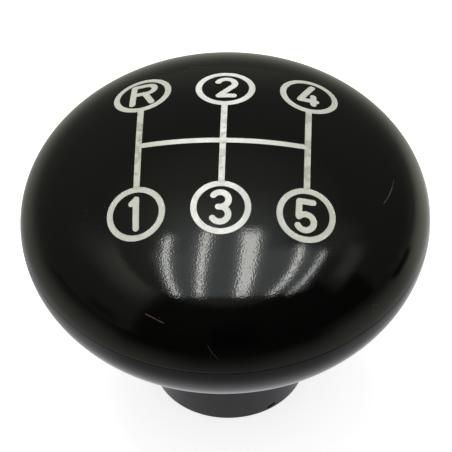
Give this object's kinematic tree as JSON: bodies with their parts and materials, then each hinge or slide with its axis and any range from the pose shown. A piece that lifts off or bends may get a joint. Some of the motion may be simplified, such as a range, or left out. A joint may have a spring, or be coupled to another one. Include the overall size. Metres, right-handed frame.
{
  "type": "gear shift knob",
  "caption": "Round mushroom-shaped gear shift knob with a short collar, a moulded-in threaded insert and an engraved, filled gate pattern on its dome.",
  "frame": {"origin": "centre of the collar's foot", "axes": "+Z along the knob's axis towards the dome, +Y towards the row R-2-4, +X towards the column 4-5"},
  "size_m": [0.06, 0.06, 0.0485],
  "materials": {
    "black_moulding": "polished thermoset moulding",
    "brass": "turned",
    "white_filling": "dried enamel wiped into the engraving"
  },
  "bodies": {
    "root": {"knob_body": "black_moulding", "threaded_insert": "brass", "gate_fill": "white_filling", "letter_r": "white_filling", "numeral_1": "white_filling", "numeral_2": "white_filling", "numeral_3": "white_filling", "numeral_4": "white_filling", "numeral_5": "white_filling"}
  },
  "joints": []
}
